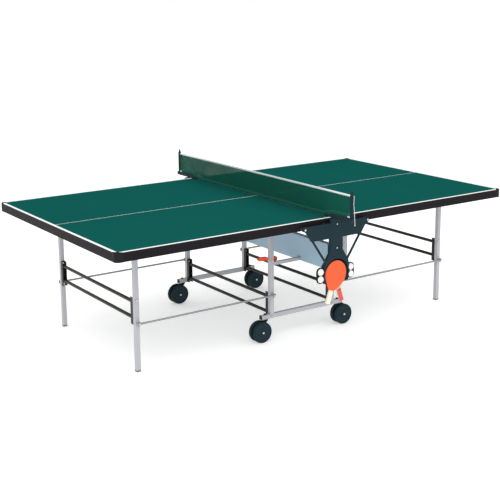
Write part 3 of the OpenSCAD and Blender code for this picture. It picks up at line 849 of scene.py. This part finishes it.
def make_balls(mats):
    """Two-shell balls with a fine welded seam."""
    for name in ("left_low", "left_high", "right_low", "right_high"):
        low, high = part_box(f"ball_{name}")
        centre = (low + high) / 2
        radius = (high.x - low.x) / 2
        steps = 40
        profile = []
        for k in range(1, steps):
            a = math.pi * k / steps
            seam = 0.12 * MM if k == steps // 2 else 0
            profile.append(((radius - seam) * math.sin(a), -(radius - seam) * math.cos(a)))
        ball = Shape()
        ball.lathe(profile, centre, (0.35, 0.3, 0.9), 64)
        ball.piece(f"ball_{name}_shell", mats["ball"], f"ball_{name}", 60, [f"ball_{name}"], "ball_white")


# ---------------------------------------------------------------- wheels, bolts and welds

def make_wheels(mats):
    """Twin wheels with a crowned, grooved tread, a dished face, a hub and a bright axle cap."""
    low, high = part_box("wheels_near_left")
    rim = (high.z - low.z) / 2 / MM
    hub_end = 33.4
    # radius, and distance along the axle from the middle of the castor, in mm
    half = [(8, 9.3), (rim - 24, 9.3), (rim - 21, 11), (rim - 8, 11), (rim - 5, 10), (rim - 2.4, 11.4),
            (rim - 0.7, 14), (rim, 17.5)]
    for groove in (18.6, 22.6):
        half += [(rim, groove), (rim - 0.7, groove + 0.4), (rim - 0.7, groove + 1.4), (rim, groove + 1.8)]
    half += [(rim - 0.1, 26), (rim - 0.8, 28.6), (rim - 2.4, 31), (rim - 4.6, 32.4), (rim - 6.4, 32.6),
             (rim - 8, 31.8), (rim - 9.6, 30.2), (rim - 13, 29.4), (27, 29.2), (24, 29.8), (21.4, 32),
             (18, hub_end), (7, 33.6)]
    # radius, and distance from the end of the hub, in mm
    cap = [(6.4, 0), (6.4, 1.6), (5.8, 2.6), (4.4, 3.4), (2.4, 3.8), (0.8, 3.9)]
    axle_r = 3.9 * MM
    axle_half = 9.5 * MM
    for row in ROWS:
        for side in SIDES:
            name = f"wheels_{row}_{side}"
            low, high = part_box(name)
            centre = (low + high) / 2
            pair = Shape()
            caps = Shape()
            for s in (-1, 1):
                pair.lathe([(r * MM, h * MM) for r, h in half], centre, (0, s, 0), 96)
                caps.lathe([(r * MM, (hub_end + h) * MM) for r, h in cap], centre, (0, s, 0), 32)
            pair.lathe([(axle_r, -axle_half), (axle_r, axle_half)], centre, (0, 1, 0), 24)
            pair.piece(f"{name}_tyres", mats["wheel"], name, 28, [name], "wheel_slate")
            caps.piece(f"{name}_axle_caps", mats["zinc"], name, 40, (), "wheel_slate")


def screw(shape, centre, direction, r):
    """A domed head of radius r with a six-sided socket."""
    shape.lathe([(r, 0), (r, 0.25 * r), (0.93 * r, 0.4 * r), (0.75 * r, 0.52 * r), (0.5 * r, 0.58 * r)],
                centre, direction, 30, False)
    axis, side, other = basis(direction)

    def polygon(reach, height, count):
        """Points evenly round the screw's axis."""
        return [Vector(centre) + axis * height + reach * (math.cos(a) * side + math.sin(a) * other)
                for a in circle_angles(count)]

    collar = polygon(0.5 * r, 0.58 * r, 30)
    corners = polygon(0.44 * r, 0.55 * r, 6)
    # each side of the socket has five of the collar's thirty points
    socket = [corners[k // 5].lerp(corners[(k // 5 + 1) % 6], k % 5 / 5) for k in range(30)]
    sunk = [p - axis * 0.3 * r for p in socket]
    shape.loft([collar, socket, sunk], False)
    shape.add(sunk, [list(range(30))])


def make_screws(mats):
    """Socket heads over the plain heads of the bolts, and the screws of the aprons."""
    bolt_r = 6.2 * MM
    pivot_r = 5.4 * MM
    plate_r = 3.8 * MM
    apron_r = 3.4 * MM
    head_face = upright_face + 4 * MM
    apron_screw_z = table_z - 32 * MM
    apron_screw_x = 69 * MM
    fixed = Shape()
    for s in ROWS.values():
        for x in (-post_x, post_x):
            screw(fixed, (x, s * bolt_face, pivot_z), (0, s, 0), pivot_r)
            screw(fixed, (x, s * rod_bolt_face, rod_z), (0, s, 0), bolt_r)
            screw(fixed, (x, s * head_face, rail_z), (0, s, 0), bolt_r)
        for z in plate_bolt_zs:
            screw(fixed, (0, s * bolt_face, z), (0, s, 0), plate_r)
    for x in (-post_x, post_x):
        screw(fixed, (x, -head_face, lever_z), (0, -1, 0), bolt_r)
    fixed.piece("frame_screw_heads", mats["zinc"], "undercarriage", 40, (), "zinc_steel")
    for side, sx in SIDES.items():
        legs = Shape()
        apron = Shape()
        for s in ROWS.values():
            screw(legs, (sx * leg_x, s * rod_bolt_face, rod_z), (0, s, 0), bolt_r)
            screw(legs, (sx * leg_x, s * head_face, leg_bolt_z), (0, s, 0), bolt_r)
            screw(apron, (sx * apron_screw_x, s * half_wid, apron_screw_z), (0, s, 0), apron_r)
        legs.piece(f"leg_screw_heads_{side}", mats["zinc"], f"leg_frame_{side}", 40, (), "zinc_steel")
        apron.piece(f"apron_screws_{side}", mats["zinc"], f"half_{side}", 40, (), "apron_black")


def make_welds(mats):
    """Weld beads where the round cross tubes meet the channels of their frame."""
    gap = tube / 2 + 3 * MM
    ring_r = 10.4 * MM
    bead_r = 1.5 * MM
    for side, sx in SIDES.items():
        for kind, x, heights, body in (("leg", leg_x, leg_tube_zs, f"leg_frame_{side}"),
                                       ("base", post_x, base_tube_zs, "undercarriage")):
            beads = Shape()
            for z in heights:
                for s in ROWS.values():
                    beads.torus((sx * x, s * (frame_y - gap), z), (0, 1, 0), ring_r, bead_r)
            beads.piece(f"{kind}_frame_welds_{side}", mats["black"], body, 60, (), "frame_black")


# ---------------------------------------------------------------- surroundings

def make_stage():
    """Plain pale floor, white surroundings and two large soft lights."""
    reach = 60
    glow = 0.4                          # keeps the pale floor from going grey round the table
    floor = bpy.data.meshes.new("floor")
    floor.from_pydata([(-reach, -reach, 0), (reach, -reach, 0), (reach, reach, 0), (-reach, reach, 0)],
                      [], [(0, 1, 2, 3)])
    paint = Finish("floor_paint", (244, 244, 243), 0.9, 0.0)
    paint.set("Emission Color", (1, 1, 1, 1))
    paint.set("Emission Strength", glow)
    floor.materials.append(paint.material)
    ground = bpy.data.objects.new("floor", floor)
    bpy.context.scene.collection.objects.link(ground)
    world = bpy.data.worlds.new("studio")
    world.use_nodes = True
    background = world.node_tree.nodes["Background"]
    background.inputs["Color"].default_value = (1, 1, 1, 1)
    background.inputs["Strength"].default_value = 1.0
    bpy.context.scene.world = world
    aim = Vector((0, 0, 0.5))
    # name, place, size in metres and power in watts
    lights = (("key", (-3.2, -3.4, 4.6), 3.5, 70), ("fill", (3.5, -3.0, 3.5), 4, 20))
    for name, place, size, power in lights:
        light = bpy.data.lights.new(name, "AREA")
        light.size = size
        light.energy = power
        lamp = bpy.data.objects.new(name, light)
        lamp.location = place
        lamp.rotation_euler = (aim - Vector(place)).to_track_quat("-Z", "Y").to_euler()
        bpy.context.scene.collection.objects.link(lamp)
    bpy.context.scene.view_settings.view_transform = "Standard"


# ---------------------------------------------------------------- build

make_camera()
materials = make_materials()
make_cord(materials)
dress_frame(materials)
netting = make_netting(materials)
hem = make_hem(materials)
tape = make_tape(materials)
make_bat(materials, "back", -18, -76 * MM, "handle_red")
make_bat(materials, "front", 19, -97 * MM, "handle_cream")
make_balls(materials)
make_wheels(materials)
make_screws(materials)
make_welds(materials)
make_stage()
